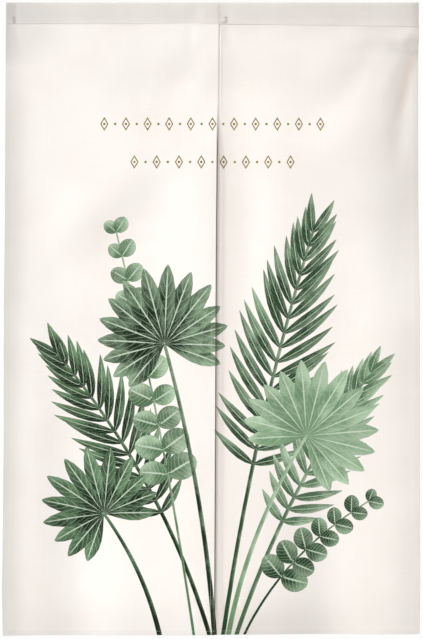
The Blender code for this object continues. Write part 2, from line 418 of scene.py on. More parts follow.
def fan(plant):
    """A fan palm's leaf: pleated fingers spread from the end of the stem."""
    stem = stem_of(plant, 1.15 * STEM_HALF)
    foot = blade_point(stem, 1.0, 0.0)
    blades = [stem]
    half = 0.115 * plant.size
    for i in sorted(range(plant.leaves), key=lambda i: -abs(i - (plant.leaves - 1) / 2.0)):
        spread = 2.0 * i / (plant.leaves - 1) - 1.0
        turn = heading_at(stem, 1.0) + math.radians(122.0) * spread
        length = plant.size * (1.0 - 0.26 * abs(spread) ** 1.5) * dice.uniform(0.95, 1.04)
        bend = 0.05 * spread
        blades.append(
            leaf_blade(plant, foot, turn, length, half, bend, 0.60, 0.75, "leaf", 0.60, 1.0)
        )
    return blades


def plant_blades():
    made = []
    for plant in PLANTS:
        made += {"feather": feather, "coin": coin, "fan": fan}[plant.kind](plant)
    return made


BLADES = plant_blades()
print(len(BLADES), "blades in the print")

# %% [markdown]
# Above the plants run two short rows of fine gold ornament: thin outlined
# lozenges with a dot between each pair. An outline is painted as a gold shape
# with a smaller bare shape on top of it.

# %% Gold ornament
OrnamentRow = namedtuple("OrnamentRow", "z half_span count")
ORNAMENT = (
    OrnamentRow(-0.2303, 0.2050, 11),
    OrnamentRow(-0.3024, 0.1480, 8),
)
LOZENGE_HALF = (0.0078, 0.0132)
STROKE = 0.0020
DOT = 0.0024


def lozenge(x, z, half_x, half_z):
    return [(x, z - half_z), (x + half_x, z), (x, z + half_z), (x - half_x, z)]


def dot(x, z):
    angles = np.linspace(0.0, 2.0 * math.pi, 9)[:-1]
    return [(x + DOT * math.cos(a), z + DOT * math.sin(a)) for a in angles]


def ornament_shapes():
    """(outline, GOLD or BARE) for each shape, in the order of painting."""
    shapes = []
    wide, high = LOZENGE_HALF
    inner = 1.0 - STROKE * math.hypot(wide, high) / (wide * high)
    for row in ORNAMENT:
        places = np.linspace(-row.half_span, row.half_span, row.count)
        for x in places:
            shapes.append((lozenge(x, row.z, wide, high), GOLD))
            shapes.append((lozenge(x, row.z, wide * inner, high * inner), BARE))
            shapes.append((dot(x, row.z), GOLD))
        shapes += [(dot(x, row.z), GOLD) for x in (places[:-1] + places[1:]) / 2.0]
    return shapes


SHAPES = [(blade_outline(b), LEAF, b) for b in BLADES]
SHAPES += [(outline, paint, None) for outline, paint in ornament_shapes()]
print(len(SHAPES) - len(BLADES), "shapes in the ornament")

# %% [markdown]
# ## Cutting the print into the cloth
# A Delaunay triangulation with constraints takes the panel's outline, an even
# grid of points inside it, and the outline of each printed shape. It returns
# triangles that follow all of them. Which shape a triangle lies in is found by
# counting how often a line from its middle to the right crosses each outline: an
# odd count means inside. The last shape painted over a triangle shows there.

# %% Triangles of a panel
MERGE_2D = 0.00002


def edge_names(side):
    """What EDGES calls a panel's left edge and its right one."""
    names = (side + "_outer", side + "_inner")
    return names if side == "left" else names[::-1]


def panel_points(side):
    """The grid of a panel on the front, as (x, z), and its edge anticlockwise."""
    left, right = edge_names(side)
    columns = int(round((edge_at(0.0, right) - edge_at(0.0, left)) / CELL)) + 1
    rows = int(round((DROP - POCKET_HEIGHT) / CELL)) + 1
    share, down = np.meshgrid(np.linspace(0.0, 1.0, columns), np.linspace(0.0, 1.0, rows))
    top_x = edge_at(-POCKET_HEIGHT, left) * (1.0 - share) + edge_at(-POCKET_HEIGHT, right) * share
    top = pocket_low(top_x) + TUCK_UP
    z = top + (-DROP - top) * down
    x = edge_at(z, left) * (1.0 - share) + edge_at(z, right) * share
    number = np.arange(rows * columns).reshape(rows, columns)
    ring = [*number[-1, :], *number[-2::-1, -1], *number[0, -2::-1], *number[1:-1, 0]]
    return np.column_stack([x.ravel(), z.ravel()]), [int(i) for i in ring]


def ridge_points(ridge):
    """Points across a narrow ridge, closer together than the panel's own grid."""
    share = np.linspace(0.08, 1.0, 46)
    x = ridge.x_top + (ridge.x_low - ridge.x_top) * share
    z = ridge.z_top + (ridge.z_low - ridge.z_top) * share
    steps = (-2.2, -1.2, -0.6, 0.0, 0.6, 1.2, 2.2)
    return [(a + step * ridge.half_width, b) for a, b in zip(x, z) for step in steps]


def inside_outline(outline, points):
    """Which of the points lie inside a closed outline."""
    odd = np.zeros(len(points), bool)
    x, z = points.T
    for (ax, az), (bx, bz) in zip(outline, np.roll(outline, -1, axis=0)):
        if az == bz:
            continue
        crosses = ((az > z) != (bz > z)) & (x < ax + (z - az) * (bx - ax) / (bz - az))
        odd ^= crosses
    return odd


def painted_triangles(side):
    """(points, triangles, the number of the shape that shows on each, or -1)."""
    points, ring = panel_points(side)
    low, high = points.min(0), points.max(0)
    corners, lines = list(map(tuple, points)), list(zip(ring, ring[1:] + ring[:1]))
    if side == "right":
        corners += ridge_points(SEAM_RIDGE)
    near = []
    for number, (outline, _, _) in enumerate(SHAPES):
        shape = np.array(outline)
        if (shape.max(0) < low).any() or (shape.min(0) > high).any():
            continue
        first, count = len(corners), len(shape)
        lines += [(first + i, first + (i + 1) % count) for i in range(count)]
        corners += list(map(tuple, shape))
        near.append((number, shape))
    found = delaunay_2d_cdt(corners, lines, [], 0, MERGE_2D, False)
    flat, triangles = np.array(found[0]), np.array(found[2])
    middles = flat[triangles].mean(axis=1)
    kept = inside_outline(points[ring], middles)
    triangles, middles = triangles[kept], middles[kept]
    shows = np.full(len(triangles), -1)
    for number, shape in near:
        low, high = shape.min(0), shape.max(0)
        close = np.flatnonzero(((middles > low) & (middles < high)).all(axis=1))
        shows[close[inside_outline(shape, middles[close])]] = number
    used, triangles = np.unique(triangles, return_inverse=True)
    return flat[used], triangles.reshape(-1, 3), shows


# %% [markdown]
# ## Turned hems
# The raw edge of the cloth is turned to the back and stitched down. The strip is
# part of the same cloth, so it grows out of the panel's own edge: round a tight
# bend, and then back inwards behind the panel, on the same folds.

# %% Hems
ON_EDGE = 0.0003


def edge_loop(triangles):
    """The points along the sheet's edge, in order, anticlockwise."""
    sides = np.concatenate([triangles[:, [a, b]] for a, b in ((0, 1), (1, 2), (2, 0))])
    ends = np.sort(sides, axis=1)
    _, first, uses = np.unique(ends, axis=0, return_index=True, return_counts=True)
    follows = {int(a): int(b) for a, b in sides[first[uses == 1]]}
    loop = [next(iter(follows))]
    while follows[loop[-1]] != loop[0]:
        loop.append(follows[loop[-1]])
    return loop


def hem_columns(side, edge, x, z):
    """The hem's points behind one point of an edge, from the bend inwards."""
    if edge == "bottom":
        depth = 2.0 * LAYER
        steps = [(x, z - 0.5 * LAYER), (x, z), (x, z + 0.5 * BOTTOM_HEM), (x, z + BOTTOM_HEM)]
    else:
        depth = LAYER
        way = 1.0 if edge == "right" else -1.0
        steps = [(x - way * inward, z) for inward in (-0.5 * LAYER, 0.0, 0.5 * SIDE_HEM, SIDE_HEM)]
    return [
        (a, float(cloth_y(side, np.array([a]), np.array([c]))[0]) + depth * share, c)
        for (a, c), share in zip(steps, (0.5, 1.0, 1.0, 1.0))
    ]


def add_hems(side, flat, triangles, points, quads):
    """Adds the side hems and the bottom hem behind the panel's edge."""
    loop = edge_loop(triangles)
    names = dict(zip(("left", "right"), edge_names(side)))
    for edge in ("left", "right", "bottom"):
        on_it = {}
        for i in loop:
            x, z = flat[i]
            gap = z + DROP if edge == "bottom" else x - edge_at(z, names[edge])
            if abs(gap) < ON_EDGE:
                on_it[i] = [i, *range(len(points), len(points) + 4)]
                points += hem_columns(side, edge, x, z)
        for a, b in zip(loop, loop[1:] + loop[:1]):
            if a in on_it and b in on_it:
                for k in range(4):
                    quads.append((on_it[b][k], on_it[a][k], on_it[a][k + 1], on_it[b][k + 1]))


# %% [markdown]
# ## Making a panel
# Each corner of each face carries three things for the materials: its place on
# the flat cloth, its place inside its blade, and the blade's two inks. Solidify
# then gives the sheet its thickness, and it puts the back on materials of their
# own, because dye shows through to the back only faintly.

# %% Panel meshes
BACK = 3
RIM_ANGLE = math.radians(35.0)


def new_object(name, mesh):
    thing = bpy.data.objects.new(name, mesh)
    bpy.context.scene.collection.objects.link(thing)
    return thing


def add_map(mesh, name, values):
    mesh.uv_layers.new(name=name).uv.foreach_set("vector", np.ravel(values))


def thicken(sheet, thickness, offset, back=0):
    """Gives a sheet its thickness, with a sharp rim and soft folds."""
    sheet.data.shade_smooth()
    thick = sheet.modifiers.new("thickness", "SOLIDIFY")
    thick.thickness = thickness
    thick.offset = offset
    thick.material_offset = back
    bpy.ops.object.select_all(action="DESELECT")
    sheet.select_set(True)
    bpy.context.view_layer.objects.active = sheet
    bpy.ops.object.modifier_apply(modifier=thick.name)
    bpy.ops.object.shade_smooth_by_angle(angle=RIM_ANGLE)


def corner_data(flat, triangles, shows, total_corners):
    """The blade places and inks of all corners. Bare cloth keeps zeros."""
    inside = np.zeros((total_corners, 2))
    deep = np.zeros((total_corners, 4))
    light = np.zeros((total_corners, 4))
    for number in np.unique(shows[shows >= 0]):
        blade = SHAPES[number][2]
        if blade is None:
            continue
        faces = np.flatnonzero(shows == number)
        corners = (faces[:, None] * 3 + np.arange(3)).ravel()
        s, t = blade_inside(blade, *flat[triangles[faces].ravel()].T)
        inside[corners] = np.column_stack([np.clip(s, 0.0, 1.0), np.clip(t, -1.0, 1.0) * 0.5 + 0.5])
        deep[corners] = (*blade.deep, blade.vein)
        light[corners] = (*blade.light, blade.rib)
    return inside, deep, light


def make_panel(side):
    """One panel of fine cloth, with its print and its hems."""
    flat, triangles, shows = painted_triangles(side)
    y = cloth_y(side, flat[:, 0], flat[:, 1])
    points = [(x, d, z) for (x, z), d in zip(flat, y)]
    quads = []
    add_hems(side, flat, triangles, points, quads)
    mesh = bpy.data.meshes.new(side + "_cloth")
    mesh.from_pydata(points, [], [tuple(t) for t in triangles.tolist()] + quads)
    paint = [SHAPES[n][1] if n >= 0 else BARE for n in shows] + [BARE] * len(quads)
    mesh.polygons.foreach_set("material_index", paint)
    for _ in range(2 * BACK):
        mesh.materials.append(None)
    x, _, z = np.array(points)[[loop.vertex_index for loop in mesh.loops]].T
    outer, inner = (edge_at(z, f"{side}_{which}") for which in ("outer", "inner"))
    inside, deep, light = corner_data(flat, triangles, shows, len(mesh.loops))
    add_map(mesh, "cloth", np.column_stack([x - (outer if side == "left" else inner), -z]))
    add_map(mesh, "blade", inside)
    add_map(mesh, "edges", np.abs(np.column_stack([x - outer, x - inner])))
    for name, values in (("deep", deep), ("light", light)):
        inks = mesh.color_attributes.new(name, "FLOAT_COLOR", "CORNER")
        inks.data.foreach_set("color", values.ravel())
    panel = new_object(side + "_cloth", mesh)
    thicken(panel, CLOTH, 0.0, BACK)
    print(panel.name, "has", len(panel.data.polygons), "faces")
    return panel


left_cloth = make_panel("left")
right_cloth = make_panel("right")

# %% [markdown]
# ## The rod pocket
# The top of the curtain is turned over and stitched into a pocket for the rod.
# Its section is a teardrop: round where the rod would lie, and pinched at the
# stitching. The cloth of the lap stands a step higher. Rings of the section run
# from end to end, so the pocket stays open at both ends.

# %% Pocket mesh
SEAM_HALF = 0.0008
LAP_STEP = 0.0004
BELLY_HEIGHT = 0.58
SIDE_POINTS = 20
POCKET_STATION = 0.004
POCKET_CLOTH = 0.0005
POCKET_CUT = 0.085
HEM_STEP = 0.0015
GATHERS_OVER = 0.006
RING_GAP = 0.001

Tuck = namedtuple("Tuck", "x depth half_width")
TUCKS = (
    Tuck(-0.376, 0.0007, 0.012),
    Tuck(-0.033, 0.0007, 0.010),
    Tuck(0.026, 0.0007, 0.010),
    Tuck(0.384, 0.0007, 0.012),
)


def tuck_in(x):
    """How far the small tucks push the pocket's front inwards."""
    return sum(t.depth * np.exp(-(((x - t.x) / t.half_width) ** 2)) for t in TUCKS)


def lap_rise(x, front):
    """How far the doubled cloth of the lap stands out of the pocket."""
    if not front:
        x = LAP_LEFT + LAP_RIGHT - x
    climb = smooth((x - LAP_LEFT + 2.0 * SIDE_HEM) / (2.0 * SIDE_HEM))
    return LAP_STEP * climb * (1.0 - smooth((x - LAP_RIGHT) / HEM_STEP))


def teardrop(share):
    """Half the section's depth at a share of its height."""
    power = math.log(0.5) / math.log(BELLY_HEIGHT)
    bulge = math.sin(math.pi * min(share**power, 1.0)) ** (1.0 - 0.5 * share)
    foot = SEAM_HALF * (1.0 - share)
    return foot + (POCKET_DEPTH / 2.0 - foot) * bulge


def pocket_ring(x):
    """The section at one place: up the front, over the top, down the back."""
    low = float(pocket_low(x))
    tuck = float(tuck_in(x))
    ring = []
    for i in range(2 * SIDE_POINTS + 1):
        share = 0.5 - 0.5 * math.cos(math.pi * min(i, 2 * SIDE_POINTS - i) / SIDE_POINTS)
        z = low * (1.0 - share)
        way = (i > SIDE_POINTS) - (i < SIDE_POINTS)
        gather = float(pucker(x + 2.0 * (way > 0), z - low)) * smooth((z - low) / GATHERS_OVER)
        y = way * (max(teardrop(share), 0.0) + lap_rise(x, way < 0) * abs(way))
        ring.append((x, y + gather + tuck * math.sin(math.pi * share) * (way < 0), z))
    return ring


def make_pocket():
    even = np.arange(-HALF_WIDTH, HALF_WIDTH + 0.5 * POCKET_STATION, POCKET_STATION)
    even = np.linspace(-HALF_WIDTH, HALF_WIDTH, len(even))
    steps = [LAP_LEFT - HEM_STEP, LAP_LEFT, LAP_RIGHT, LAP_RIGHT + HEM_STEP]
    between = [x for x in even if min(abs(x - s) for s in steps) > RING_GAP]
    rings = [pocket_ring(x) for x in sorted(between + steps)]
    count = len(rings[0])
    points = [p for ring in rings for p in ring]
    quads = [
        (low, low + count, low + count + 1, low + 1)
        for a in range(len(rings) - 1) for low in range(a * count, (a + 1) * count - 1)
    ]
    mesh = bpy.data.meshes.new("heading_cloth")
    mesh.from_pydata(points, [], quads)
    around = np.cumsum([0.0] + [math.dist(p, q) for p, q in zip(rings[0], rings[0][1:])])
    corners = [loop.vertex_index for loop in mesh.loops]
    add_map(mesh, "cloth", [(points[i][0] + HALF_WIDTH, around[i % count]) for i in corners])
    pocket = new_object("heading_cloth", mesh)
    thicken(pocket, POCKET_CLOTH, -1.0)
    print(pocket.name, "has", len(pocket.data.polygons), "faces, and is", around[-1], "m round")
    return pocket


heading_cloth = make_pocket()

# %% [markdown]
# ## Stitches
# A seam is a row of short stitches that lie half sunk in the cloth. One stitch is
# a small stretched ball, modelled once. Each copy is turned along its seam and
# the copies of a seam are joined into one mesh, because thousands of separate
# objects would be slow.

# %% Stitch mesh
STITCH_LENGTH = 0.0024
STITCH_PITCH = 0.0034
STITCH_HALF = 0.00026


def one_stitch():
    """The points and faces of one stitch, lying along X, with Z off the cloth."""
    bpy.ops.object.select_all(action="DESELECT")
    bpy.ops.mesh.primitive_ico_sphere_add(subdivisions=1, radius=1.0)
    ball = bpy.context.object
    size = np.array([STITCH_LENGTH / 2.0, STITCH_HALF, STITCH_HALF])
    points = np.array([v.co for v in ball.data.vertices]) * size
    faces = [tuple(p.vertices) for p in ball.data.polygons]
    bpy.data.objects.remove(ball)
    return points, faces


STITCH_POINTS, STITCH_FACES = one_stitch()


def seam(path, out):
    """Stitches along a path of points, each with out as the way off the cloth."""
    path, out = np.array(path), np.array(out)
    reach = np.concatenate([[0.0], np.cumsum(np.linalg.norm(np.diff(path, axis=0), axis=1))])
    middles = np.arange(0.5 * STITCH_PITCH, reach[-1], STITCH_PITCH)

    def along(distance):
        return np.column_stack([np.interp(distance, reach, path[:, k]) for k in range(3)])

    centre = along(middles)
    run = along(middles + 0.3 * STITCH_LENGTH) - along(middles - 0.3 * STITCH_LENGTH)
    run /= np.linalg.norm(run, axis=1)[:, None]
    off = np.column_stack([np.interp(middles, reach, out[:, k]) for k in range(3)])
    off -= (off * run).sum(1)[:, None] * run
    off /= np.linalg.norm(off, axis=1)[:, None]
    cross = np.cross(off, run)
    axes = np.stack([run, cross, off], axis=1)
    return (STITCH_POINTS @ axes + centre[:, None, :]).reshape(-1, 3)


def join_seams(name, seams):
    """One mesh of all the stitches of these seams."""
    points = np.concatenate(seams)
    starts = range(0, len(points), len(STITCH_POINTS))
    faces = [tuple(start + i for i in face) for start in starts for face in STITCH_FACES]
    mesh = bpy.data.meshes.new(name)
    mesh.from_pydata(points.tolist(), [], faces)
    mesh.shade_smooth()
    print(name, "has", len(starts), "stitches")
    return new_object(name, mesh)


# %% [markdown]
# Each hem is stitched near its inner edge, and each row shows on the front and on
# the back. The lap has a row near each cloth's edge, down to the end of the sewn
# part, where a short bar of stitches holds the slit from tearing further.

# %% Seams
STEP = 0.002
SLOPE_STEP = 0.001
TOWARDS = np.array([0.0, -1.0, 0.0])
LAP_ROWS = (("left", -0.0020), ("left", -0.0165), ("right", 0.0020), ("right", 0.0165))
BAR_ENDS = (-0.004, 0.0065)
BAR_PITCH = 0.0008


def on_panel(side, x, z, front, layers):
    """Points on the cloth's front or back, and the ways off it there."""
    half = 0.5 * CLOTH if front else 0.5 * CLOTH + (layers - 1) * LAYER
    y = cloth_y(side, x, z)
    slope_x = (cloth_y(side, x + SLOPE_STEP, z) - y) / SLOPE_STEP
    slope_z = (cloth_y(side, x, z + SLOPE_STEP) - y) / SLOPE_STEP
    out = np.column_stack([slope_x, -np.ones_like(y), slope_z])
    out /= np.linalg.norm(out, axis=1)[:, None]
    path = np.column_stack([x, y, z])
    return (path + out * half, out) if front else (path - out * half, -out)


def hem_seams(side, front):
    """The stitching of a panel's two side hems and its bottom hem."""
    made = []
    for edge, top in (("outer", -POCKET_HEIGHT - 0.006), ("inner", SEWN_DOWN_TO - 0.004)):
        way = 1.0 if (side == "left") == (edge == "outer") else -1.0
        z = np.arange(top, -DROP + 0.001, -STEP)
        x = edge_at(z, f"{side}_{edge}") + way * (SIDE_HEM - STITCH_IN)
        made.append(seam(*on_panel(side, x, z, front, 2)))
    left, right = (float(edge_at(-DROP, name)) for name in edge_names(side))
    x = np.arange(left + 0.001, right - 0.001, STEP)
    z = np.full_like(x, -DROP + BOTTOM_HEM - STITCH_IN)
    made.append(seam(*on_panel(side, x, z, front, 3)))
    return made


def lap_seams():
    """The two rows that sew the lap, and the bar at their lower end."""
    made = []
    for side, x_in in LAP_ROWS:
        z = np.arange(-POCKET_HEIGHT - 0.001, SEWN_DOWN_TO, -STEP)
        x = edge_at(z, side + "_inner") + x_in
        made.append(seam(*on_panel(side, x, z, side == "left", 2 if side == "right" else 1)))
    for k in range(4):
        x = np.linspace(*BAR_ENDS, 8)
        z = np.full_like(x, SEWN_DOWN_TO - BAR_PITCH * k)
        made.append(seam(*on_panel("left", x, z, True, 1)))
    return made


def pocket_seams():
    """The row that closes the pocket, on its front and on its back."""
    made = []
    for way in (-1.0, 1.0):
        x = np.arange(-HALF_WIDTH + 0.001, HALF_WIDTH - 0.001, STEP)
        z = pocket_low(x) + STITCH_IN
        share = STITCH_IN / POCKET_HEIGHT
        y = np.array([way * (teardrop(share) + lap_rise(v, way < 0.0)) for v in x])
        path = np.column_stack([x, y, z])
        made.append(seam(path, np.tile(-way * TOWARDS, (len(x), 1))))
    return made


left_stitches = join_seams("left_stitches", hem_seams("left", True) + hem_seams("left", False))
right_stitches = join_seams("right_stitches", hem_seams("right", True) + hem_seams("right", False))
lap_stitches = join_seams("lap_stitches", lap_seams())
pocket_stitches = join_seams("pocket_stitches", pocket_seams())

# %% [markdown]
# Small bars of close stitches in a darker thread tack down the pocket's left end
# and the edges of its lap.

# %% Tacks
Tack = namedtuple("Tack", "x_left x_right z_top z_low upright")
TACKS = (
    Tack(-0.3785, -0.3735, -0.0265, -0.0390, True),
    Tack(0.0235, 0.0290, -0.0265, -0.0390, True),
    Tack(0.0170, 0.0235, -0.0360, -0.0390, False),
)
TACK_PITCH = 0.0007


def on_pocket(x, z):
    """Points on the pocket's front."""
    share = 1.0 - z / pocket_low(x)
    y = [
        t * math.sin(math.pi * s) - teardrop(s) - lap_rise(v, True)
        for v, s, t in zip(x, share, tuck_in(x))
    ]
    return np.column_stack([x, y, z])


def tack_seams():
    """Each bar is rows of stitches beside one another, upright or level."""
    made = []
    for tack in TACKS:
        across, along = (tack.x_left, tack.x_right), (tack.z_top, tack.z_low)
        if not tack.upright:
            across, along = (tack.z_low, tack.z_top), (tack.x_left, tack.x_right)
        for place in np.arange(*across, TACK_PITCH):
            run = np.linspace(*along, 9)
            at = np.full_like(run, place)
            path = on_pocket(at, run) if tack.upright else on_pocket(run, at)
            made.append(seam(path, np.tile(TOWARDS, (len(run), 1))))
    return made


tack_stitches = join_seams("tack_stitches", tack_seams())

# %% [markdown]
# ## Materials
# A material is a net of nodes. The class below gives the few kinds of node that
# are used here short names, so that each material reads like a sum.

# %% Wiring


class Wiring:
    """Short ways to add nodes to one material."""

    def __init__(self, name):
        self.material = bpy.data.materials.new(name)
        self.material.use_nodes = True
        self.tree = self.material.node_tree
        self.shader = self.tree.nodes["Principled BSDF"]

    def feed(self, socket, value):
        if isinstance(value, bpy.types.NodeSocket):
            self.tree.links.new(value, socket)
        else:
            socket.default_value = value

    def finish(self, **looks):
        """Sets or links the shader's own sockets."""
        for name, value in looks.items():
            self.feed(self.shader.inputs[name.replace("_", " ")], value)
        return self.material

    def node(self, kind, output=0, settings=None, **inputs):
        made = self.tree.nodes.new(kind)
        for key, value in (settings or {}).items():
            setattr(made, key, value)
        for key, value in inputs.items():
            self.feed(made.inputs[int(key[2:]) if key.startswith("in") else key], value)
        return made.outputs[output]

    def maths(self, operation, a, b=0.0, c=0.0, clamp=False):
        settings = {"operation": operation, "use_clamp": clamp}
        return self.node("ShaderNodeMath", settings=settings, in0=a, in1=b, in2=c)

    def times(self, a, *others):
        for other in others:
            a = self.maths("MULTIPLY", a, other)
        return a

    def less(self, a, b):
        """The first value less the second."""
        return self.maths("SUBTRACT", a, b)

    def ramp(self, value, start, end, first, last):
        """Runs from first to last while the value runs from start to end."""
        kind = "ShaderNodeMapRange"
        return self.node(kind, Value=value, in1=start, in2=end, in3=first, in4=last)

    def mix(self, factor, a, b, blend="MIX"):
        """Mixes two colours, each a socket or its red, green and blue."""
        a, b = ((*c, 1.0) if isinstance(c, tuple) else c for c in (a, b))
        settings = {"data_type": "RGBA", "blend_type": blend, "clamp_factor": True}
        return self.node("ShaderNodeMix", 2, settings, in0=factor, in6=a, in7=b)

    def shade(self, colour, tone, warmth=0.0):
        """Multiplies a colour by a tone. Warmth takes more off its blue than its red."""
        red = self.maths("POWER", tone, 1.0 - warmth) if warmth else tone
        blue = self.maths("POWER", tone, 1.0 + warmth) if warmth else tone
        grey = self.node("ShaderNodeCombineColor", in0=red, in1=tone, in2=blue)
        return self.mix(1.0, colour, grey, "MULTIPLY")

    def noise(self, where, scale, detail=2.0):
        return self.node("ShaderNodeTexNoise", Vector=where, Scale=scale, Detail=detail)

    def stretched(self, where, scale):
        return self.node("ShaderNodeMapping", Vector=where, Scale=scale)

    def place(self, uv_map):
        """The place on one of the piece's maps, as a vector and as two numbers."""
        where = self.node("ShaderNodeUVMap", settings={"uv_map": uv_map})
        split = self.tree.nodes.new("ShaderNodeSeparateXYZ")
        self.tree.links.new(where, split.inputs[0])
        return where, split.outputs[0], split.outputs[1]


# %% [markdown]
# The cloth is a plain weave: each thread goes over one and under the next. A
# checker of small squares picks which thread is on top, and a sine rounds it.
# Long thin noise makes some threads thicker. All of it reads the map of the flat
# cloth, so that the weave follows the folds.

# %% Weave
THREAD = 0.0006
LONG_THIN = (9.0, 700.0, 1.0)
SLUB_RANGE = (0.3, 0.7)
SLUB_TONE = (0.972, 1.012)
SLUB_HEIGHT = 1.4
WEAVE_DEPTH = 0.00010


def weave_height(wires, where, u, v):
    """The height of a plain weave, from 0 to 1."""
    over = wires.node("ShaderNodeTexChecker", 1, Vector=where, Scale=1.0 / THREAD)
    waves = (wires.maths("SINE", wires.times(way, math.pi / THREAD)) for way in (u, v))
    across, down = (wires.maths("ABSOLUTE", wave) for wave in waves)
    return wires.maths("ADD", wires.times(across, over), wires.times(down, wires.less(1.0, over)))


def finish_cloth(wires, colour, where, u, v):
    """Puts the weave, the thick threads and the sheen under a colour."""
    slow, fast, _ = LONG_THIN
    warp = wires.noise(wires.stretched(where, (fast, slow, 1.0)), 1.0)
    weft = wires.noise(wires.stretched(where, LONG_THIN), 1.0)
    slub = wires.times(wires.maths("ADD", warp, weft), 0.5)
    colour = wires.shade(colour, wires.ramp(slub, *SLUB_RANGE, *SLUB_TONE))
    slub = wires.times(slub, SLUB_HEIGHT)
    height = wires.maths("ADD", weave_height(wires, where, u, v), slub)
    bump = wires.node("ShaderNodeBump", Height=height, Strength=0.35, Distance=WEAVE_DEPTH)
    return wires.finish(
        Base_Color=colour, Normal=bump, Roughness=0.86,
        Specular_IOR_Level=0.15, Sheen_Weight=0.05, Sheen_Roughness=0.5,
    )


print("a thread of the weave is", THREAD, "m wide")

# %% [markdown]
# ## Where the cloth is greyer
# No cloth is one even white. Soft clouds run through it. Shade is also painted
# into the colour: in the hems, which are two and three layers thick, at the folded
# edge, close under the pocket, towards the bottom, in the top corners, in the
# valley of the pull at the right corner and as a dark line along the open slit's
# edge. The right panel is painted a shade darker than the left one. Beside the
# lap and the slit the right panel has painted shade, and close to the open slit
# painted light. A map with the distances from the panel's two edges tells where
# all this is.

# %% Painted shade and light on the cloth
# The right panel's white and warm tones are a shade darker than the left one's: painted shade, as
# the light comes from the left.
CLOTH_WHITE = {"left": (0.902, 0.868, 0.822), "right": (0.888, 0.842, 0.798)}
CLOTH_WARM = {"left": (0.876, 0.824, 0.780), "right": (0.866, 0.806, 0.762)}
# The grey that the painted shade mixes into the cloth.
SHADE_GREY = (0.715, 0.680, 0.640)
CLOUDS = (0.38, 0.62)
# Painted light: a paler white close to the open slit on the right panel, which lifts the shadow of
# the left panel's edge.
CLOTH_PAINTED_LIGHT = (0.972, 0.915, 0.868)
CLOTH_SHADED = (0.868, 0.800, 0.742)
# Painted shadow: the dark line along the open slit's edge.
SLIT_SHADOW = (0.082, 0.060, 0.045)

# Painted shade in the hems, where less light passes through the layers, and at their folded edge.
HEM_SHADE = 0.24
HEM_LINE = 0.0004
FOLDED_SHADE = 0.35
FOLDED_EDGE = (0.0005, 0.0040)
# Painted shade close under the pocket, and towards the bottom.
SHADE_UNDER_POCKET = {"left": 0.35, "right": 1.20}
UNDER_REACH = 0.055
LOW_SHADE = {"left": 0.13, "right": 0.29}
LOW_FROM = (0.70, 1.16)
SEWN_UNTIL = (0.25, 0.33)
# Painted shade beside the sewn lap, on the right panel.
SEAM_SIDE = (0.034, 0.056)
SEAM_SHADE = 0.24
# Beside the open slit: painted shade further out, and painted light close to it.
SHADED_SIDE = (0.030, 0.052)
LIFTED_SIDE = (0.022, 0.032)
# Where the painted shadow line along the slit lies, and how strong it is.
SLIT_LINE = (0.0015, 0.0021)
SLIT_FROM = (0.19, 0.27)
SLIT_SHADOW_AMOUNT = 0.90
# Painted shade in the valley of the pull at the right corner.
CREASE_SHADE = 0.13
CREASE_SHADE_WARMTH = 0.35
CREASE_SHADE_LINE = (0.24, -0.0126)
CREASE_SHADE_BAND = (0.003, 0.014)
CREASE_SHADE_STARTS = (0.085, 0.115)
CREASE_SHADE_ENDS = (0.180, 0.225)

# A corner's painted shade: at the hem and how far, then along the pocket, then how low
CornerShade = namedtuple("CornerShade", "hem hem_to top top_from top_to high low")
CORNER_SHADE = {
    "left": CornerShade(0.085, 0.022, 0.212, 0.0, 0.125, 0.068, 0.125),
    "right": CornerShade(0.120, 0.020, 0.100, 0.085, 0.130, 0.052, 0.085),
}


def corner_shade_tone(wires, side, from_outer, v):
    """A top corner is greyer: painted shade."""
    corner = CORNER_SHADE[side]
    hem = wires.ramp(from_outer, 0.0, corner.hem_to, corner.hem, 0.0)
    top = wires.ramp(from_outer, corner.top_from, corner.top_to, corner.top, 0.0)
    down = wires.ramp(v, corner.high, corner.low, 1.0, 0.0)
    return wires.less(1.0, wires.times(wires.maths("ADD", hem, top), down))


def crease_shade_tone(wires, from_outer, v):
    """Painted shade in the valley of the pull at the right corner."""
    middle = wires.maths("MULTIPLY_ADD", v, *CREASE_SHADE_LINE)
    off = wires.maths("ABSOLUTE", wires.less(from_outer, middle))
    valley_shade = wires.ramp(off, *CREASE_SHADE_BAND, CREASE_SHADE, 0.0)
    valley_shade = wires.times(valley_shade, wires.ramp(v, *CREASE_SHADE_STARTS, 0.0, 1.0))
    return wires.less(1.0, wires.times(valley_shade, wires.ramp(v, *CREASE_SHADE_ENDS, 1.0, 0.0)))


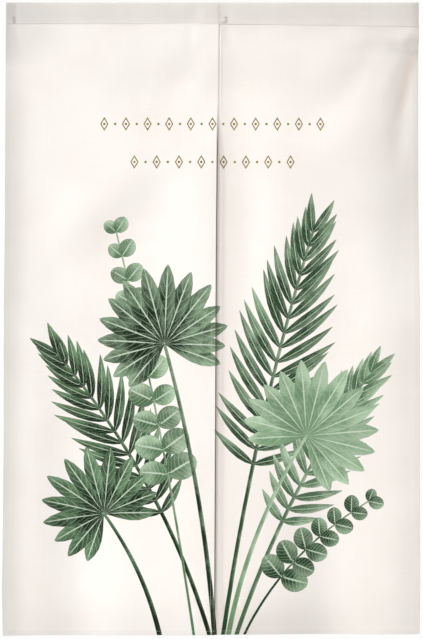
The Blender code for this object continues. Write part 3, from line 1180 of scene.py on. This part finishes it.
def bare_colour(wires, side, face, where, v):
    """The cloth's off-white, with painted shade where it is turned over, under the pocket, low
    down, in the top corners and beside the slit, and painted light close to the slit.
    """
    _, from_outer, from_inner = wires.place("edges")
    from_edge = wires.maths("MINIMUM", from_outer, wires.less(DROP - BOTTOM_HEM + SIDE_HEM, v))
    hem = wires.ramp(from_edge, SIDE_HEM - HEM_LINE, SIDE_HEM, HEM_SHADE, 0.0)
    hem = wires.maths("ADD", hem, wires.ramp(from_edge, *FOLDED_EDGE, FOLDED_SHADE, 0.0))
    cloud = wires.noise(where, 7.0, 3.0)
    under = wires.ramp(v, POCKET_HEIGHT, POCKET_HEIGHT + UNDER_REACH, 1.0, 0.0)
    under = wires.times(under, under, cloud, SHADE_UNDER_POCKET[side])
    low = wires.ramp(v, *LOW_FROM, 0.0, LOW_SHADE[side])
    base = wires.mix(wires.ramp(cloud, *CLOUDS, 0.0, 1.0), CLOTH_WHITE[side], CLOTH_WARM[side])
    # Painted shade in the hems, under the pocket and towards the bottom.
    for grey in (hem, under, low):
        base = wires.mix(grey, base, SHADE_GREY)
    # Painted shade in the top corners.
    base = wires.shade(base, corner_shade_tone(wires, side, from_outer, v))
    # Painted shade in the valley of the pull at the right corner.
    if side == "right":
        base = wires.shade(base, crease_shade_tone(wires, from_outer, v), CREASE_SHADE_WARMTH)
    if side == "left" or face == "back":
        return base
    # Painted shade beside the sewn lap.
    sewn = wires.ramp(v, *SEWN_UNTIL, 1.0, 0.0)
    opened = wires.less(1.0, sewn)
    beside = wires.times(wires.ramp(from_inner, *SEAM_SIDE, SEAM_SHADE, 0.0), sewn)
    base = wires.mix(beside, base, SHADE_GREY)
    # Beside the open slit: painted shade further out, and painted light close to it.
    for reach, tint in ((SHADED_SIDE, CLOTH_SHADED), (LIFTED_SIDE, CLOTH_PAINTED_LIGHT)):
        beside = wires.times(wires.ramp(from_inner, *reach, 1.0, 0.0), opened)
        base = wires.mix(beside, base, tint)
    return base


def slit_shadow_line(wires, colour, v):
    """A painted shadow: a dark line along the open slit's edge."""
    _, _, from_slit = wires.place("edges")
    line = wires.ramp(from_slit, *SLIT_LINE, SLIT_SHADOW_AMOUNT, 0.0)
    below = wires.ramp(v, *SLIT_FROM, 0.0, 1.0)
    return wires.mix(wires.times(line, below), colour, SLIT_SHADOW)


print("the hems are", HEM_SHADE, "of the way to grey, and their edge", HEM_SHADE + FOLDED_SHADE)

# %% [markdown]
# ## Printed leaves
# The print looks like watercolour. Inside a blade the deep ink runs into the
# light one along and across the leaf, soft clouds of noise blot it, and a fine
# grain breaks it up as paper does. Pale lines are left for the rib and the veins.
# The dye sits in the threads, so the weave is the same as beside it.

# %% Leaf material
# How much the place across and along a blade, the clouds and the grain lighten it
WASH = {"size": 0.30, "s": 0.90, "wash": 1.90, "grain": 1.10}
WASH_MIDDLE = 1.77
DARK_RIM = (0.86, 1.0)
RIM_INK = 0.40
VEIN_INK = (0.520, 0.625, 0.490)
VEIN_BEATS = 7.0
VEIN_SLANT = -0.22
VEIN_CURVE = 1.4
VEIN_WIDE = 0.07
RIB_WIDE = (0.04, 0.11)
GOLD_INK = ((0.150, 0.098, 0.010), (0.310, 0.220, 0.034))
GOLD_RUB = (0.35, 0.65)


def leaf_colour(wires, where):
    _, s, across = wires.place("blade")
    t = wires.maths("MULTIPLY_ADD", across, 2.0, -1.0)
    size = wires.maths("ABSOLUTE", t)
    inks = []
    for name in ("deep", "light"):
        ink = wires.tree.nodes.new("ShaderNodeAttribute")
        ink.attribute_name = name
        inks.append(ink.outputs)
    (deep, vein_weight), (light, rib_weight) = ((ink["Color"], ink["Alpha"]) for ink in inks)
    amount = wires.times(t, 0.30)
    parts = {"size": size, "s": s, "wash": wires.noise(where, 26.0, 3.0)}
    parts["grain"] = wires.noise(where, 420.0)
    for name, part in parts.items():
        amount = wires.maths("MULTIPLY_ADD", part, WASH[name], amount)
    amount = wires.maths("SUBTRACT", amount, WASH_MIDDLE, clamp=True)
    colour = wires.mix(amount, deep, light)
    colour = wires.mix(wires.ramp(size, *DARK_RIM, 0.0, RIM_INK), colour, deep)
    slant = wires.maths("MULTIPLY_ADD", wires.maths("POWER", size, VEIN_CURVE), VEIN_SLANT, s)
    beat = wires.maths("PINGPONG", wires.times(slant, VEIN_BEATS), 0.5)
    vein = wires.times(wires.ramp(beat, 0.0, VEIN_WIDE, 1.0, 0.0), vein_weight)
    rib = wires.times(wires.ramp(size, *RIB_WIDE, 1.0, 0.0), rib_weight)
    return wires.mix(rib, wires.mix(vein, colour, VEIN_INK), VEIN_INK)


def gold_colour(wires, where):
    rub = wires.noise(where, 160.0)
    return wires.mix(wires.ramp(rub, *GOLD_RUB, 0.0, 1.0), *GOLD_INK)


print(len(INK), "greens and", len(GOLD_INK), "golds")

# %% [markdown]
# The back has the same three materials again, mixed most of the way to the bare
# cloth: that is as much of the dye as comes through. The pocket's cloth is greyer,
# with painted shade, and more so towards the right, at its turned-in left end, at
# both ends and along its top, where it turns over.

# %% All the cloth's materials
SHOW_THROUGH = 0.34
# The pocket is greyer than the panels: painted shade, as less light passes through its layers.
POCKET_PALE = (0.866, 0.833, 0.790)
POCKET_SHADED = (0.748, 0.692, 0.650)


def panel_materials(side):
    """Bare, leaf and gold for the front, and the same for the back."""
    made = []
    for face in ("front", "back"):
        for paint, ink in (("bare", None), ("leaf", leaf_colour), ("gold", gold_colour)):
            wires = Wiring(f"{side} {face} {paint}")
            where, u, v = wires.place("cloth")
            if ink and face == "front":
                colour = ink(wires, where)
            else:
                colour = bare_colour(wires, side, face, where, v)
            if ink and face == "back":
                colour = wires.mix(SHOW_THROUGH, colour, ink(wires, where))
            # A painted shadow line along the left panel's slit edge.
            if side == "left" and face == "front":
                colour = slit_shadow_line(wires, colour, v)
            made.append(finish_cloth(wires, colour, where, u, v))
    return made


def pocket_material():
    wires = Wiring("pocket cloth")
    where, u, v = wires.place("cloth")
    from_right = wires.less(2.0 * HALF_WIDTH, u)
    from_top = wires.maths("ABSOLUTE", wires.less(v, POCKET_CUT / 2.0))
    # Painted shade: the pocket turns darker towards the right, as the light comes from the left.
    to_right = wires.ramp(u, 0.0, 2.0 * HALF_WIDTH, -0.35, 0.15)
    amount = wires.maths("MULTIPLY_ADD", wires.noise(where, 9.0, 3.0), 1.1, to_right, clamp=True)
    colour = wires.mix(amount, POCKET_PALE, POCKET_SHADED)
    for distance, start, end, tone in (
        (u, 0.0165, 0.0210, 0.885),  # painted shade at the turned-in end
        (u, 0.030, 0.130, 0.85),  # painted shade towards the left end
        (from_right, 0.0, 0.100, 0.935),  # painted shade towards the right end
        (from_right, 0.001, 0.016, 0.83),  # more painted shade at its edge
        (from_top, 0.010, 0.035, 0.825),  # painted shade along the top, where it turns over
    ):
        colour = wires.shade(colour, wires.ramp(distance, start, end, tone, 1.0))
    return finish_cloth(wires, colour, where, u, v)


def thread_material(name, dark, pale):
    wires = Wiring(name)
    where = wires.tree.nodes.new("ShaderNodeTexCoord").outputs["Object"]
    twist = wires.noise(where, 2500.0)
    bump = wires.node("ShaderNodeBump", Height=twist, Strength=0.3, Distance=0.00005)
    return wires.finish(Base_Color=wires.mix(twist, dark, pale), Normal=bump, Roughness=0.55)


for panel, side in ((left_cloth, "left"), (right_cloth, "right")):
    for place, look in enumerate(panel_materials(side)):
        panel.data.materials[place] = look
heading_cloth.data.materials.append(pocket_material())
sewing_thread = thread_material("sewing thread", (0.80, 0.77, 0.73), (0.92, 0.90, 0.87))
tacking_thread = thread_material("tacking thread", (0.24, 0.23, 0.21), (0.36, 0.35, 0.32))
tack_stitches.data.materials.append(tacking_thread)
STITCHING = (left_stitches, right_stitches, lap_stitches, pocket_stitches)
for rows in STITCHING:
    rows.data.materials.append(sewing_thread)
print("materials:", len(bpy.data.materials))

# %% [markdown]
# ## What each piece stands for
# Each piece rides on the one body of the curtain, and each cloth hides the plain
# solid that it stands for.

# %% Ride and replace
for piece in (left_cloth, right_cloth, heading_cloth, *STITCHING, tack_stitches):
    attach(piece, "root")
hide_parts("left_panel")
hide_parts("right_panel")
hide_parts("heading")

# %% [markdown]
# ## Camera, floor and light
# The photograph is taken straight on from far away, so the camera has a long
# lens. Its picture is 423 by 639 pixels, and its height shows 1.2114 metres. The
# light is soft and comes from the left: a pale sky all round, and a window's
# broad light made of three wide suns at three heights. One sun alone would give
# the folds hard edges. Two lamps lift the right side and the back.

# %% Camera
VIEW_HEIGHT = 1.2114
VIEW_MIDDLE = (-0.0018, -0.6010)
CAMERA_AWAY = 6.0
SENSOR = 36.0
camera_data = bpy.data.cameras.new("camera")
camera = new_object("camera", camera_data)
camera.location = (VIEW_MIDDLE[0], -CAMERA_AWAY, VIEW_MIDDLE[1])
camera.rotation_euler = (math.radians(90.0), 0.0, 0.0)
camera_data.sensor_width = SENSOR
camera_data.lens = SENSOR * CAMERA_AWAY / VIEW_HEIGHT
camera_data.clip_end = 100.0
bpy.context.scene.camera = camera
print("the lens is", round(camera_data.lens, 1), "mm long")

# %% Floor
FLOOR = -1.95
bpy.ops.object.select_all(action="DESELECT")
bpy.ops.mesh.primitive_plane_add(size=8.0, location=(0.0, 0.0, FLOOR))
floor = bpy.context.object
floor.name = "floor"
floor_paint = Wiring("pale floor").finish(Base_Color=(0.80, 0.80, 0.79, 1.0), Roughness=0.9)
floor.data.materials.append(floor_paint)
print("the floor is", round(-DROP - FLOOR, 2), "m below the curtain")

# %% Light
Lamp = namedtuple("Lamp", "name kind place power size")
LAMPS = (
    Lamp("key", "SUN", (-12.0, -4.0, 4.6), 1.83, math.radians(6.0)),
    Lamp("low key", "SUN", (-10.0, -2.0, 1.8), 0.74, math.radians(10.0)),
    Lamp("high key", "SUN", (-4.0, -4.0, 5.8), 1.27, math.radians(12.0)),
    Lamp("fill", "AREA", (6.0, -6.0, 0.5), 20.0, 4.0),
    Lamp("back", "AREA", (3.0, 8.0, 0.2), 220.0, 4.0),
)
SKY_LIGHT = 0.59
SKY_SEEN = 1.0

for lamp in LAMPS:
    data = bpy.data.lights.new(lamp.name, lamp.kind)
    data.energy = lamp.power
    if lamp.kind == "SUN":
        data.angle = lamp.size
    else:
        data.size = lamp.size
    light = new_object(lamp.name, data)
    light.location = lamp.place
    aim = Vector((0.0, 0.0, -DROP / 2.0)) - Vector(lamp.place)
    light.rotation_euler = aim.to_track_quat("-Z", "Y").to_euler()

world = bpy.data.worlds.new("pale sky")
bpy.context.scene.world = world
world.use_nodes = True
sky = world.node_tree
background = sky.nodes["Background"]
rays = sky.nodes.new("ShaderNodeLightPath")
strength = sky.nodes.new("ShaderNodeMapRange")
sky.links.new(rays.outputs["Is Camera Ray"], strength.inputs["Value"])
strength.inputs["To Min"].default_value = SKY_LIGHT
strength.inputs["To Max"].default_value = SKY_SEEN
sky.links.new(strength.outputs["Result"], background.inputs["Strength"])
background.inputs["Color"].default_value = (0.995, 0.992, 0.985, 1.0)
bpy.context.scene.view_settings.view_transform = "Standard"
print("lights:", [o.name for o in bpy.data.objects if o.type == "LIGHT"])
